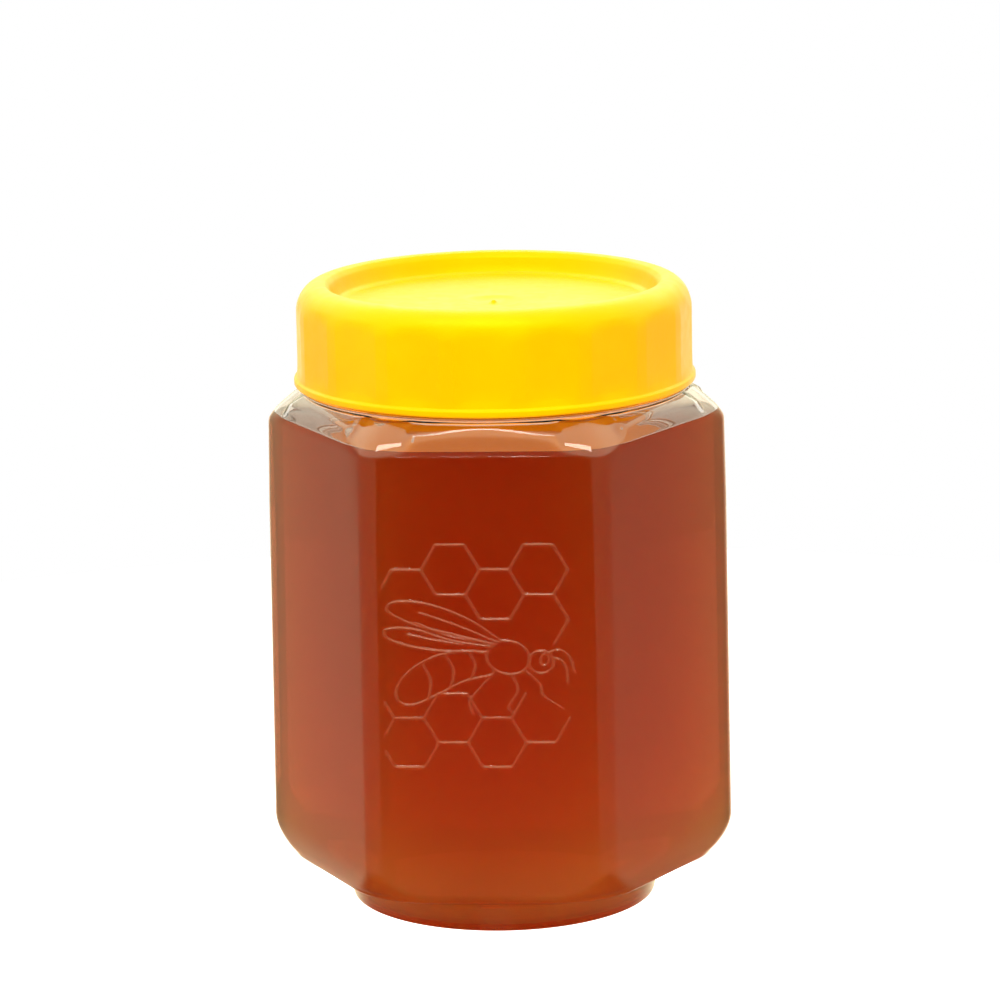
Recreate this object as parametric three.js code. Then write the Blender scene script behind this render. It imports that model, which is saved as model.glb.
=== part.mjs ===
// Hexagonal plastic honey jar: a clear six-sided jar, the honey in it and a round screw cap.
// Millimetres, +Z up. The origin is at the middle of the standing ring, on the ground.
// The panel with the relief faces -Y, and two of the six corners lie on the X axis.
import * as THREE from 'three';

// ---- sizes ----
const HEIGHT = 140;          // ground to the crest of the cap

// foot: a round ring below the hexagon, with a push-up in the middle
const FOOT_IN_R = 31.6;      // inner edge of the flat standing ring
const FOOT_OUT_R = 33.4;     // outer edge of the flat standing ring
const FOOT_TOP_R = 35.2;     // widest part of the round foot
const FOOT_TOP_Z = 6.1;
const PUSH_UP = 3.0;         // height of the push-up at the middle

// bottom bevel: the hexagon narrows and grows rounder down to its rim
const RIM_Z = 10.3;
const RIM_FLAT = 43.9;       // axis to flat at the rim
const RIM_CORNER = 47.5;     // axis to corner at the rim
const PANEL_LOW_Z = 17.8;    // lower edge of the flat panels
const PANEL_LOW_FLAT = 45.4;

// flat panels and shoulder
const PANEL_TOP_Z = 109.3;   // upper edge of the flat panels
const PANEL_TOP_FLAT = 44.8;
const CORNER_ROUND = 5.0;    // rounding of the upright corners
const WALL_LEAN = 0.22;      // lean of the wall above the panels, mm per mm
const DOME_R = 42.6;         // the round shoulder where it meets the neck
const DOME_DZ = 6.4;         // height of that line above the panels
const FAN_R = 45.5;          // the corner fan at FAN_DZ above the panels, on the corner line
const FAN_DZ = 6.03;
const FAN_SLOPE = 1.28;      // widening of the fan, mm per mm downward
const FAN_ANGLE = 24;        // each half of the fan is turned by this from the corner, degrees

// neck
const NECK_LOW_R = 42.5;
const BEAD_R = 43.5;
const BEAD_LOW_Z = 116.5;
const BEAD_TOP_Z = 117.1;
const NECK_R = 41.9;
const NECK_TOP_Z = 135.4;
const NECK_WALL = 1.0;

// wall, honey and gaps
const WALL = 0.9;
const GAP = 0.3;
const HONEY_Z = 109.8;

// cap
const CAP_LOW_Z = 117.5;
const CAP_FLANGE_R = 44.55;
const CAP_SKIRT_R = 43.8;
const CAP_IN_R = 42.4;
const CREST_R = 38.2;        // radius of the crest line
const CREST_ROUND_W = 5.6;   // rounding outside the crest, across
const CREST_ROUND_H = 6.6;   // and down
const FLOOR_Z = 135.2;       // the recessed top of the cap
const FLOOR_R = 33.5;
const CAP_FLATS = 18;        // shallow flats round the skirt
const FLAT_DEPTH = 0.36;

const DEG = Math.PI / 180;
const C30 = Math.cos(30 * DEG);

// ---- sections ----
// Angles from a corner at which the hexagon is sampled, so that its rounding is kept.
const SECTOR = [0, 1.5, 3.2, 8, 14, 22, 30];

function hexAngles() {
  const out = [];
  for (let k = 0; k < 6; k++) {
    for (let i = SECTOR.length - 1; i > 0; i--) {
      out.push(60 * k - SECTOR[i]);
    }
    for (let i = 0; i < SECTOR.length - 1; i++) {
      out.push(60 * k + SECTOR[i]);
    }
  }
  return out;
}

// Angle from the nearest corner, 0 to 30 degrees, in radians.
function fromCorner(deg) {
  const a = ((deg + 30) % 60 + 60) % 60 - 30;
  return Math.abs(a) * DEG;
}

// Radius of a hexagon with rounded corners.
function hexRadius(deg, flat, round) {
  const a = fromCorner(deg);
  const c = (flat - round) / C30;
  const tangent = Math.atan2(round * 0.5, c + round * C30);
  if (a >= tangent) {
    return flat / Math.cos(30 * DEG - a);
  }
  const s = c * Math.sin(a);
  return c * Math.cos(a) + Math.sqrt(Math.max(round * round - s * s, 0));
}

// The rounding that gives a wanted radius at the corner.
function roundFor(flat, corner) {
  const round = (flat / C30 - corner) / (1 / C30 - 1);
  return Math.min(Math.max(round, 0.5), flat * 0.99);
}

// Smooth least and smooth greatest of two radii.
function softMin(a, b, k) {
  const m = Math.min(a, b);
  return m - k * Math.log(Math.exp((m - a) / k) + Math.exp((m - b) / k));
}

function softMax(a, b, k) {
  return -softMin(-a, -b, k);
}

// Radius of the shoulder at a height above the panels; inset moves the surface inward.
function shoulderRadius(deg, dz, inset) {
  const a = fromCorner(deg);
  const flat = PANEL_TOP_FLAT - WALL_LEAN * Math.max(dz, 0) - inset;
  const wall = hexRadius(deg, flat, Math.max(CORNER_ROUND - inset, 1));
  const dome = DOME_R + (DOME_DZ - dz) - 1.414 * inset;
  const fanLine = (FAN_R + (FAN_DZ - dz) * FAN_SLOPE - 1.62 * inset) * Math.cos(FAN_ANGLE * DEG);
  const fan = fanLine / Math.cos(FAN_ANGLE * DEG - a);
  return softMin(wall, softMax(dome, fan, 0.12), 0.22);
}

// ---- meshes from rings ----
// A ring is a list of points round the axis; a pole is a single point on it.
function circle(angles, r, z) {
  return angles.map((d) => [r * Math.cos(d * DEG), r * Math.sin(d * DEG), z]);
}

function ringOf(angles, z, radius) {
  return angles.map((d) => {
    const r = radius(d);
    return [r * Math.cos(d * DEG), r * Math.sin(d * DEG), z];
  });
}

function skin(rings) {
  const points = [];
  const starts = [];
  for (const ring of rings) {
    starts.push(points.length);
    for (const p of ring) {
      points.push(p);
    }
  }
  const index = [];
  for (let k = 0; k + 1 < rings.length; k++) {
    const n = rings[k].length;
    const m = rings[k + 1].length;
    const count = Math.max(n, m);
    for (let i = 0; i < count; i++) {
      const j = (i + 1) % count;
      if (n === 1) {
        index.push(starts[k], starts[k + 1] + j, starts[k + 1] + i);
      } else if (m === 1) {
        index.push(starts[k] + i, starts[k] + j, starts[k + 1]);
      } else {
        index.push(starts[k] + i, starts[k] + j, starts[k + 1] + j);
        index.push(starts[k] + i, starts[k + 1] + j, starts[k + 1] + i);
      }
    }
  }
  const geometry = new THREE.BufferGeometry();
  geometry.setAttribute('position', new THREE.Float32BufferAttribute(points.flat(), 3));
  geometry.setIndex(index);
  geometry.computeVertexNormals();
  return geometry;
}

// The body above the foot, from the rim to the neck, moved inward by an inset.
function bodyRings(angles, inset, topZ) {
  const rings = [];
  const steps = 4;
  for (let i = 0; i <= steps; i++) {
    const t = i / steps;
    const s = Math.sin(t * 90 * DEG) ** 0.75;
    const flat = RIM_FLAT + (PANEL_LOW_FLAT - RIM_FLAT) * s - inset;
    const topCorner = PANEL_LOW_FLAT / C30 - (1 / C30 - 1) * CORNER_ROUND;
    const corner = RIM_CORNER + (topCorner - RIM_CORNER) * s - inset;
    const z = RIM_Z + (PANEL_LOW_Z - RIM_Z) * t + (1 - t) * inset * 0.7;
    rings.push(ringOf(angles, z, (d) => hexRadius(d, flat, roundFor(flat, corner))));
  }
  rings.push(ringOf(angles, PANEL_TOP_Z, (d) => shoulderRadius(d, 0, inset)));
  for (const dz of [0.9, 1.7, 2.6, 3.7, 5.0]) {
    if (PANEL_TOP_Z + dz < topZ - 0.2) {
      rings.push(ringOf(angles, PANEL_TOP_Z + dz, (d) => shoulderRadius(d, dz, inset)));
    }
  }
  return rings;
}

function jarGeometry() {
  const a = hexAngles();
  const rings = [];
  // outside, from the middle of the underside up
  rings.push([[0, 0, PUSH_UP]]);
  rings.push(circle(a, 16, PUSH_UP - 0.35));
  rings.push(circle(a, 26, PUSH_UP - 1.2));
  rings.push(circle(a, 30, 0.7));
  rings.push(circle(a, FOOT_IN_R, 0));
  rings.push(circle(a, FOOT_OUT_R, 0));
  rings.push(circle(a, FOOT_OUT_R + 0.6, 0.4));
  rings.push(circle(a, FOOT_OUT_R + 0.9, 1.2));
  rings.push(circle(a, FOOT_TOP_R, FOOT_TOP_Z));
  rings.push(ringOf(a, RIM_Z - 0.9, (d) => hexRadius(d, RIM_FLAT - 2.2, roundFor(RIM_FLAT - 2.2, RIM_CORNER - 2.9))));
  rings.push(...bodyRings(a, 0, 1000));
  rings.push(circle(a, NECK_LOW_R, PANEL_TOP_Z + DOME_DZ + 0.1));
  rings.push(circle(a, NECK_LOW_R, BEAD_LOW_Z - 0.1));
  rings.push(circle(a, BEAD_R, BEAD_LOW_Z + 0.15));
  rings.push(circle(a, BEAD_R, BEAD_TOP_Z - 0.15));
  rings.push(circle(a, NECK_R, BEAD_TOP_Z + 0.1));
  rings.push(circle(a, NECK_R, NECK_TOP_Z));
  // inside, down to the middle of the floor
  rings.push(circle(a, NECK_R - NECK_WALL, NECK_TOP_Z));
  rings.push(circle(a, NECK_R - NECK_WALL, PANEL_TOP_Z + DOME_DZ + 0.1));
  const inside = bodyRings(a, WALL, 1000);
  inside.reverse();
  rings.push(...inside);
  rings.push(circle(a, FOOT_TOP_R - WALL, FOOT_TOP_Z + 0.7));
  rings.push(circle(a, FOOT_OUT_R - 0.1, 1.8));
  rings.push(circle(a, 30.4, 1.3));
  rings.push(circle(a, 26, PUSH_UP - 0.2));
  rings.push(circle(a, 16, PUSH_UP + 0.65));
  rings.push([[0, 0, PUSH_UP + 1]]);
  return skin(rings);
}

function honeyGeometry() {
  const a = hexAngles();
  const inset = WALL + GAP;
  const rings = [];
  rings.push([[0, 0, PUSH_UP + 1 + GAP]]);
  rings.push(circle(a, 16, PUSH_UP + 0.65 + GAP));
  rings.push(circle(a, 26, PUSH_UP - 0.2 + GAP));
  rings.push(circle(a, 30.2, 1.35 + GAP));
  rings.push(circle(a, FOOT_OUT_R - 0.5, 1.8 + GAP));
  rings.push(circle(a, FOOT_TOP_R - inset - 0.1, FOOT_TOP_Z + 0.9));
  rings.push(...bodyRings(a, inset, HONEY_Z));
  rings.push(ringOf(a, HONEY_Z, (d) => shoulderRadius(d, HONEY_Z - PANEL_TOP_Z, inset)));
  rings.push([[0, 0, HONEY_Z]]);
  return skin(rings);
}

// ---- cap ----
// Radius of the skirt with its shallow flats; share is 1 for full flats and 0 for a circle.
function flatted(deg, r, share) {
  const pitch = 360 / CAP_FLATS;
  const a = ((deg % pitch) + pitch) % pitch - pitch / 2;
  const dip = 1 - (a / (pitch / 2)) ** 2;
  return r - FLAT_DEPTH * share * dip;
}

function capGeometry() {
  const angles = [];
  for (let i = 0; i < 72; i++) {
    angles.push(5 * i);
  }
  // radius, height, share of the flats; from the middle of the underside, out, down, up and in
  const profile = [];
  profile.push([0, 133.4, 0]);
  profile.push([34.6, 133.4, 0]);
  profile.push([35.8, 133.6, 0]);
  profile.push([36.6, 134.6, 0]);
  profile.push([37.1, 137.3, 0]);
  profile.push([38.2, 138.8, 0]);
  profile.push([40.4, 137.9, 0]);
  profile.push([41.8, 136.3, 0]);
  profile.push([CAP_IN_R, 133.6, 0]);
  profile.push([CAP_IN_R, 118.6, 0]);
  profile.push([CAP_IN_R + 0.3, CAP_LOW_Z, 0]);
  profile.push([CAP_FLANGE_R - 0.2, CAP_LOW_Z, 0]);
  profile.push([CAP_FLANGE_R, CAP_LOW_Z + 0.4, 0]);
  profile.push([CAP_FLANGE_R - 0.05, CAP_LOW_Z + 1.2, 0]);
  profile.push([CAP_SKIRT_R + 0.3, CAP_LOW_Z + 2.2, 0.4]);
  profile.push([CAP_SKIRT_R + 0.05, CAP_LOW_Z + 3.7, 1]);
  profile.push([CAP_SKIRT_R, HEIGHT - CREST_ROUND_H, 1]);
  const steps = 6;
  for (let i = 1; i <= steps; i++) {
    const t = (i / steps) * 90 * DEG;
    const r = CREST_R + CREST_ROUND_W * Math.cos(t);
    const z = HEIGHT - CREST_ROUND_H * (1 - Math.sin(t));
    profile.push([r, z, i === 1 ? 0.75 : i === 2 ? 0.2 : 0]);
  }
  profile.push([37.3, 139.8, 0]);
  profile.push([36.4, 138.9, 0]);
  profile.push([35.6, 137.0, 0]);
  profile.push([34.9, 135.8, 0]);
  profile.push([FLOOR_R, FLOOR_Z, 0]);
  profile.push([6.0, FLOOR_Z, 0]);
  profile.push([4.6, 134.5, 0]);
  profile.push([1.1, 134.5, 0]);
  profile.push([0, 135.3, 0]);
  const rings = profile.map(([r, z, share]) => {
    if (r === 0) {
      return [[0, 0, z]];
    }
    return ringOf(angles, z, (d) => flatted(d, r, share));
  });
  return skin(rings);
}

// ---- the part ----
function piece(name, geometry, color, extra) {
  const material = new THREE.MeshStandardMaterial({ color, ...extra });
  const mesh = new THREE.Mesh(geometry, material);
  mesh.name = name;
  return mesh;
}

const jar = new THREE.Group();
jar.name = 'hexagonal_honey_jar';
jar.add(piece('jar', jarGeometry(), 0xe9e6df, { roughness: 0.08, metalness: 0 }));
jar.add(piece('honey', honeyGeometry(), 0x8a2a0a, { roughness: 0.15, metalness: 0 }));
jar.add(piece('cap', capGeometry(), 0xffc800, { roughness: 0.35, metalness: 0 }));

export default jar;
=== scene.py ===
# %% [markdown]
# A six-sided jar of honey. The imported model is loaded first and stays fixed: it gives the place and
# the size of everything. The clear jar, the honey and the cap are then built again in fine mesh on
# the same sizes, because clear plastic shows every facet of a coarse model.

# %% Load the model
import math

import bmesh
import bpy
import numpy as np
from mathutils import Matrix, Vector


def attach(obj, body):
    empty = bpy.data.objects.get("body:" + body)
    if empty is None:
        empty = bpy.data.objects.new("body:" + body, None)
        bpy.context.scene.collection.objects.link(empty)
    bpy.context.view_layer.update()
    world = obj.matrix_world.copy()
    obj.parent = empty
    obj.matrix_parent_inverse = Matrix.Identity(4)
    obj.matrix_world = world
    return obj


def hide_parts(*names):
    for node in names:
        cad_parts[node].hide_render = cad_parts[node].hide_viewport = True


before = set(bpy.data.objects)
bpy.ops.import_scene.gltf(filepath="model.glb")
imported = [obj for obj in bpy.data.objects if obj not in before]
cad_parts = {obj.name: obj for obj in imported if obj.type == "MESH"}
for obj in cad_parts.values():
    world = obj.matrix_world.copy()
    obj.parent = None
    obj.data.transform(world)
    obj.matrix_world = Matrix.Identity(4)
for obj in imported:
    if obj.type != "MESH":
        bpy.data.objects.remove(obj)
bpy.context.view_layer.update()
print("nodes:", sorted(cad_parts))

# %% [markdown]
# The sizes are the ones the solids were made from, in millimetres. Everything is worked out in
# millimetres and turned into metres when a mesh is made, so the numbers stay easy to read. Each
# group of sizes stands where it is first needed.
#
# The jar's cross-section is a hexagon with rounded corners, so its outline follows a rule: at each
# height there is a distance to the flats and a rounding at the corners. It could be modelled by
# bevelling a six-sided cylinder, but a mesh made of stacked rings from that rule keeps the panels
# truly flat and the corners truly round. Near the corners the rings have more points, because that
# is where the light bends.

# %% Sizes of the body
MM = 0.001
HEIGHT = 140.0
WALL = 0.9
RIM_Z = 10.3
RIM_FLAT = 43.9
RIM_CORNER = 47.5
PANEL_LOW_Z = 17.8
PANEL_LOW_FLAT = 45.4
PANEL_TOP_Z = 109.3
PANEL_TOP_FLAT = 44.8
CORNER_ROUND = 5.0
HALF_SIDE = math.radians(30)
C30 = math.cos(HALF_SIDE)
print("panels from", PANEL_LOW_Z, "to", PANEL_TOP_Z, "mm up")


# %% Sections of the hexagon
def sector_angles(near, far):
    """Angles of one ring, in radians, with more points near the six corners."""
    half = np.concatenate([np.linspace(0, 3, near, endpoint=False), np.linspace(3, 30, far)])
    sector = np.concatenate([-half[:0:-1], half[:-1]])
    ring = np.concatenate([sector + 60 * k for k in range(6)])
    return np.radians(ring)


def from_corner(theta):
    """Angle from the nearest corner."""
    step = math.radians(60)
    return np.abs(np.mod(theta + step / 2, step) - step / 2)


def hex_radius(theta, flat, rounding):
    """Radius of a hexagon with rounded corners."""
    a = from_corner(theta)
    centre = (flat - rounding) / C30
    tangent = math.atan2(rounding * 0.5, centre + rounding * C30)
    side = flat / np.cos(HALF_SIDE - a)
    across = centre * np.sin(a)
    arc = centre * np.cos(a) + np.sqrt(np.maximum(rounding ** 2 - across ** 2, 0))
    return np.where(a >= tangent, side, arc)


def rounding_for(flat, corner):
    """The rounding that puts the corner at a wanted radius."""
    return float(np.clip((flat / C30 - corner) / (1 / C30 - 1), 0.5, flat * 0.99))


outer = sector_angles(7, 34)
inner = outer[::2]
print("points in an outer ring:", len(outer), "and in an inner one:", len(inner))

# %% [markdown]
# Above the panels the jar draws in to a round neck. On the real jar this shoulder is a dome with a
# two-sided fan at each corner, and the hexagon's walls cut both off. Cutting solids with each other
# would leave hard edges there. Here the three are only radii at one angle and height, and a soft
# minimum joins them, which gives the rounded edges of a moulded bottle.

# %% Sizes of the shoulder
WALL_LEAN = 0.22
DOME_R = 42.6
DOME_DZ = 6.4
DOME_INSET = 1.414
FAN_R = 45.5
FAN_DZ = 6.03
FAN_SLOPE = 1.28
FAN_INSET = 1.62
FAN_ANGLE = math.radians(24)
RIDGE_ROUND = math.radians(3.0)
SEAM_ROUND = 0.16
EDGE_ROUND = 0.35
EDGE_ROUND_CORNER = 0.9
EDGE_CORNER_REACH = math.radians(7)
# the fields between the fans are nearly flat: half their width, where they end, how flat they are
FACET_HALF = math.radians(19.5)
FACET_SIDE = math.radians(3.5)
FACET_SHARE = 0.6
FACET_RISE = 2.0


# %% The shoulder's rule
def soft_min(a, b, k):
    """The smaller of two values, with a rounded change from one to the other."""
    low = np.minimum(a, b)
    return low - k * np.log(np.exp((low - a) / k) + np.exp((low - b) / k))


def shoulder_radius(theta, dz, inset):
    """The shoulder: a dome with flat fields and six two-sided fans, cut off by the hexagon."""
    a = from_corner(theta)
    flat = PANEL_TOP_FLAT - WALL_LEAN * max(dz, 0) - inset
    wall = hex_radius(theta, flat, max(CORNER_ROUND - inset, 1))
    off = HALF_SIDE - a
    fade = np.clip((FACET_HALF - off) / FACET_SIDE + 1, 0, 1)
    facet = (1 / np.cos(np.minimum(off, FACET_HALF)) - 1) * PANEL_TOP_FLAT * fade
    start = min(max((DOME_DZ - dz) / FACET_RISE, 0), 1)
    dome = DOME_R + (DOME_DZ - dz) - DOME_INSET * inset + FACET_SHARE * facet * start
    reach = (FAN_R + (FAN_DZ - dz) * FAN_SLOPE - FAN_INSET * inset) * math.cos(FAN_ANGLE)
    ridge = np.sqrt(a ** 2 + RIDGE_ROUND ** 2)
    fan = reach / np.cos(FAN_ANGLE - ridge)
    rounding = EDGE_ROUND + EDGE_ROUND_CORNER * np.exp(-(a / EDGE_CORNER_REACH) ** 2)
    return soft_min(wall, -soft_min(-dome, -fan, SEAM_ROUND), rounding)


print("shoulder from", PANEL_TOP_Z, "to", round(PANEL_TOP_Z + DOME_DZ, 1), "mm up")

# %% [markdown]
# Rings are joined into a closed skin, as a potter stacks coils. Where a fine ring meets one with
# half as many points, as on the lip of the neck, each coarse edge takes two fine ones.


# %% Rings and the faces between them
def ring(theta, z, radius):
    r = radius if isinstance(radius, np.ndarray) else np.full_like(theta, radius)
    return np.stack([r * np.cos(theta), r * np.sin(theta), np.full_like(theta, z)], axis=1)


def pole(z):
    return np.array([[0.0, 0.0, z]])


def bridge(a, b, start_a, start_b):
    """Faces between two rings that have equal counts, counts of two to one, or a single point."""
    faces = []
    if a == 1 or b == 1:
        for i in range(max(a, b)):
            j = (i + 1) % max(a, b)
            if a == 1:
                faces.append((start_a, start_b + j, start_b + i))
            else:
                faces.append((start_a + i, start_a + j, start_b))
    elif a == b:
        for i in range(a):
            j = (i + 1) % a
            faces.append((start_a + i, start_a + j, start_b + j, start_b + i))
    elif a == 2 * b:
        for i in range(b):
            j = (i + 1) % b
            k = (2 * i + 2) % a
            faces.append((start_a + 2 * i, start_a + 2 * i + 1, start_b + i))
            faces.append((start_a + 2 * i + 1, start_a + k, start_b + j, start_b + i))
    elif b == 2 * a:
        for i in range(a):
            j = (i + 1) % a
            k = (2 * i + 2) % b
            faces.append((start_a + i, start_b + 2 * i + 1, start_b + 2 * i))
            faces.append((start_a + i, start_a + j, start_b + k, start_b + 2 * i + 1))
    return faces


# %% Rings into a closed mesh
def triangles(mesh):
    return sum(len(p.vertices) - 2 for p in mesh.polygons)


def skin(name, rings, slot_of=lambda k: 0, gap=None):
    """A closed mesh from rings in millimetres, the first and last on the axis.
    slot_of(k) gives the number of the material of band k.
    gap is a band and its first and last column, where no faces are made."""
    points = np.concatenate(rings) * MM
    starts = np.cumsum([0] + [len(r) for r in rings])
    faces, slots = [], []
    for k in range(len(rings) - 1):
        band = bridge(len(rings[k]), len(rings[k + 1]), int(starts[k]), int(starts[k + 1]))
        if gap and k == gap[0]:
            band = band[:gap[1]] + band[gap[2]:]
        faces += band
        slots += [int(slot_of(k))] * len(band)
    mesh = bpy.data.meshes.new(name)
    mesh.from_pydata(points.tolist(), [], faces)
    mesh.polygons.foreach_set("material_index", slots)
    mesh.update()
    piece = bpy.data.objects.new(name, mesh)
    bpy.context.scene.collection.objects.link(piece)
    print(name, "has", triangles(mesh), "triangles")
    return piece


def smooth(piece, angle):
    """Smooth shading, with edges sharper than the angle kept sharp."""
    mesh = piece.data
    mesh.shade_smooth()
    mesh.set_sharp_from_angle(angle=math.radians(angle))


# %% [markdown]
# The body runs from the rim above the foot to the shoulder. The same function gives the outer
# wall, the inner wall and the honey's skin: only the inset differs. The panels are flat, so a few
# rings are enough there, while the bevel and the shoulder take many.

# %% The body's rings
RELIEF_LOW = 39.8
RELIEF_TOP = 91.2
BEVEL_BULGE = 0.75
INSET_RISE = 0.7


def body_rings(theta, inset, bevel_steps, shoulder):
    """Rings from the rim to the shoulder; shoulder holds heights above the panels' upper edge."""
    rings = []
    corner_top = PANEL_LOW_FLAT / C30 - (1 / C30 - 1) * CORNER_ROUND
    for i in range(bevel_steps + 1):
        t = i / bevel_steps
        s = math.sin(t * math.pi / 2) ** BEVEL_BULGE if t else 0.0
        flat = RIM_FLAT + (PANEL_LOW_FLAT - RIM_FLAT) * s - inset
        corner = RIM_CORNER + (corner_top - RIM_CORNER) * s - inset
        z = RIM_Z + (PANEL_LOW_Z - RIM_Z) * t + (1 - t) * inset * INSET_RISE
        rings.append(ring(theta, z, hex_radius(theta, flat, rounding_for(flat, corner))))
    for z in (PANEL_LOW_Z + 0.6, RELIEF_LOW, RELIEF_TOP):
        t = (z - PANEL_LOW_Z) / (PANEL_TOP_Z - PANEL_LOW_Z)
        flat = PANEL_LOW_FLAT + (PANEL_TOP_FLAT - PANEL_LOW_FLAT) * t - inset
        rings.append(ring(theta, z, hex_radius(theta, flat, CORNER_ROUND - inset)))
    for dz in shoulder:
        rings.append(ring(theta, PANEL_TOP_Z + dz, shoulder_radius(theta, dz, inset)))
    return rings


def fillet(points, steps=4):
    """Rounds every inner point of a profile of (radius, height) a little, with a small curve."""
    out = [points[0]]
    for before, here, after in zip(points[:-2], points[1:-1], points[2:]):
        here = np.array(here, float)
        back = np.array(before, float) - here
        on = np.array(after, float) - here
        reach = 0.3 * min(np.linalg.norm(back), np.linalg.norm(on))
        p = here + back / np.linalg.norm(back) * reach
        q = here + on / np.linalg.norm(on) * reach
        for t in np.linspace(0, 1, steps):
            out.append(tuple((1 - t) ** 2 * p + 2 * t * (1 - t) * here + t * t * q))
    out.append(points[-1])
    return out


print("a ring of the body stands at the window's lower and upper edge:", RELIEF_LOW, RELIEF_TOP)

# %% [markdown]
# The jar stands on a round tapered foot with a flat ring below and a shallow push-up inside it, and
# ends in a short neck with a bead under the cap. The real one is blown from one piece, so outside
# and inside are one skin here as well: it runs from the middle of the underside up the outer wall,
# over the lip and down the inner wall. The inner wall is wet with honey up to the honey's edge.

# %% Sizes of the foot and the neck
FOOT_IN_R = 31.6
FOOT_OUT_R = 33.4
FOOT_TOP_R = 35.2
FOOT_TOP_Z = 6.1
PUSH_UP = 3.0
NECK_LOW_R = 42.5
BEAD_R = 43.5
BEAD_LOW_Z = 116.5
BEAD_TOP_Z = 117.1
NECK_R = 41.9
NECK_TOP_Z = 135.4
NECK_WALL = 1.0
NECK_IN_R = NECK_R - NECK_WALL
HONEY_Z = 109.8
CREEP = 0.42

# %% Outside of the foot and the body
under = fillet([(3.0, PUSH_UP), (16.0, PUSH_UP - 0.35), (26.0, PUSH_UP - 1.2), (30.0, 0.6),
                (FOOT_IN_R, 0.0), (FOOT_OUT_R, 0.0), (FOOT_OUT_R + 0.7, 0.35),
                (FOOT_OUT_R + 0.95, 1.2), (FOOT_TOP_R - 0.05, FOOT_TOP_Z - 0.6),
                (FOOT_TOP_R + 0.1, FOOT_TOP_Z)], 3)
rings = [pole(PUSH_UP)]
for r, z in under:
    rings.append(ring(inner, z, r))
for t in (0.2, 0.45, 0.7, 0.88):
    flat = FOOT_TOP_R + (RIM_FLAT - 0.5 - FOOT_TOP_R) * t
    corner = FOOT_TOP_R + (RIM_CORNER - 0.6 - FOOT_TOP_R) * t
    z = FOOT_TOP_Z + 0.15 + (RIM_Z - 1.1 - FOOT_TOP_Z) * t
    rings.append(ring(outer, z, hex_radius(outer, flat, rounding_for(flat, corner))))
for drop, pull in ((0.75, 0.42), (0.45, 0.16)):
    flat = RIM_FLAT - pull
    rounding = rounding_for(flat, RIM_CORNER - pull)
    rings.append(ring(outer, RIM_Z - drop, hex_radius(outer, flat, rounding)))
rings += body_rings(outer, 0.0, 12, np.linspace(-0.8, DOME_DZ, 30))
print("rings of the outside:", len(rings))

# %% Neck and inner wall
neck = fillet([(NECK_LOW_R, PANEL_TOP_Z + DOME_DZ + 0.15), (NECK_LOW_R, BEAD_LOW_Z - 0.1),
               (BEAD_R, BEAD_LOW_Z + 0.1), (BEAD_R, BEAD_TOP_Z - 0.1), (NECK_R, BEAD_TOP_Z + 0.1),
               (NECK_R, NECK_TOP_Z - 0.2), (NECK_R - 0.2, NECK_TOP_Z),
               (NECK_IN_R + 0.2, NECK_TOP_Z)])
lip = len(rings) + len(neck)
for r, z in neck:
    rings.append(ring(inner, z, r))
for r, z in fillet([(NECK_IN_R, NECK_TOP_Z - 0.2), (NECK_IN_R, 126.0),
                    (NECK_IN_R, PANEL_TOP_Z + DOME_DZ + 0.3)]):
    rings.append(ring(inner, z, r))
wet = HONEY_Z + CREEP - PANEL_TOP_Z
dry_and_wet = np.concatenate([np.linspace(-0.8, wet, 9), np.linspace(wet, DOME_DZ, 11)[1:]])
rings += body_rings(inner, WALL, 8, dry_and_wet)[::-1]
for r, z in fillet([(FOOT_TOP_R - WALL, FOOT_TOP_Z + 0.7), (FOOT_TOP_R - 1.2, 3.0),
                    (FOOT_OUT_R - 0.1, 1.8), (30.4, 1.3), (26.0, PUSH_UP - 0.2),
                    (16.0, PUSH_UP + 0.65), (3.0, PUSH_UP + 1)], 3):
    rings.append(ring(inner, z, r))
rings.append(pole(PUSH_UP + 1))
print("rings:", len(rings), "of which the inner wall has", len(rings) - lip)

# %% [markdown]
# The front panel carries low moulded lines: a piece of honeycomb and a bee. A window is left open
# in that panel's wall, and a fine plate with the raised lines is set into it, so the jar stays one
# closed skin. The honeycomb is a lattice of flat-topped cells, and a small table says which sides
# of which cell are there. The bee is a plain side view made of smooth curves.

# %% Skin with a window in the front panel
WINDOW_HALF = 27.01
WET_SLOT = 1
low_ring = next(k for k in range(lip) if abs(rings[k][0, 2] - RELIEF_LOW) < 0.01)
columns = np.flatnonzero(np.abs(np.degrees(outer) - 270) < WINDOW_HALF)
first, last = int(columns[0]), int(columns[-1])
starts = np.cumsum([0] + [len(r) for r in rings])
window_low = [int(starts[low_ring]) + i for i in range(first, last + 1)]
window_top = [int(starts[low_ring + 1]) + i for i in range(first, last + 1)]


def wall_slot(k):
    """The inner wall is wet up to the honey's edge."""
    return WET_SLOT if k >= lip and rings[k][0, 2] < HONEY_Z + CREEP + 0.01 else 0


jar = skin("clear_jar", rings, wall_slot, (low_ring, first, last))

# %% Paths of the honeycomb
CELL = 6.32
CELL_HALF = CELL * C30
COLUMN = 1.5 * CELL
FIRST_X = -7.55
FIRST_Z = 84.6


def cell_corner(column, row, k):
    """Corner k of a cell; odd columns sit half a cell lower."""
    x = FIRST_X + COLUMN * column
    z = FIRST_Z - 2 * CELL_HALF * row - (CELL_HALF if column % 2 else 0)
    a = math.radians(60 * k)
    return (x + CELL * math.cos(a), z + CELL * math.sin(a))


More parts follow.
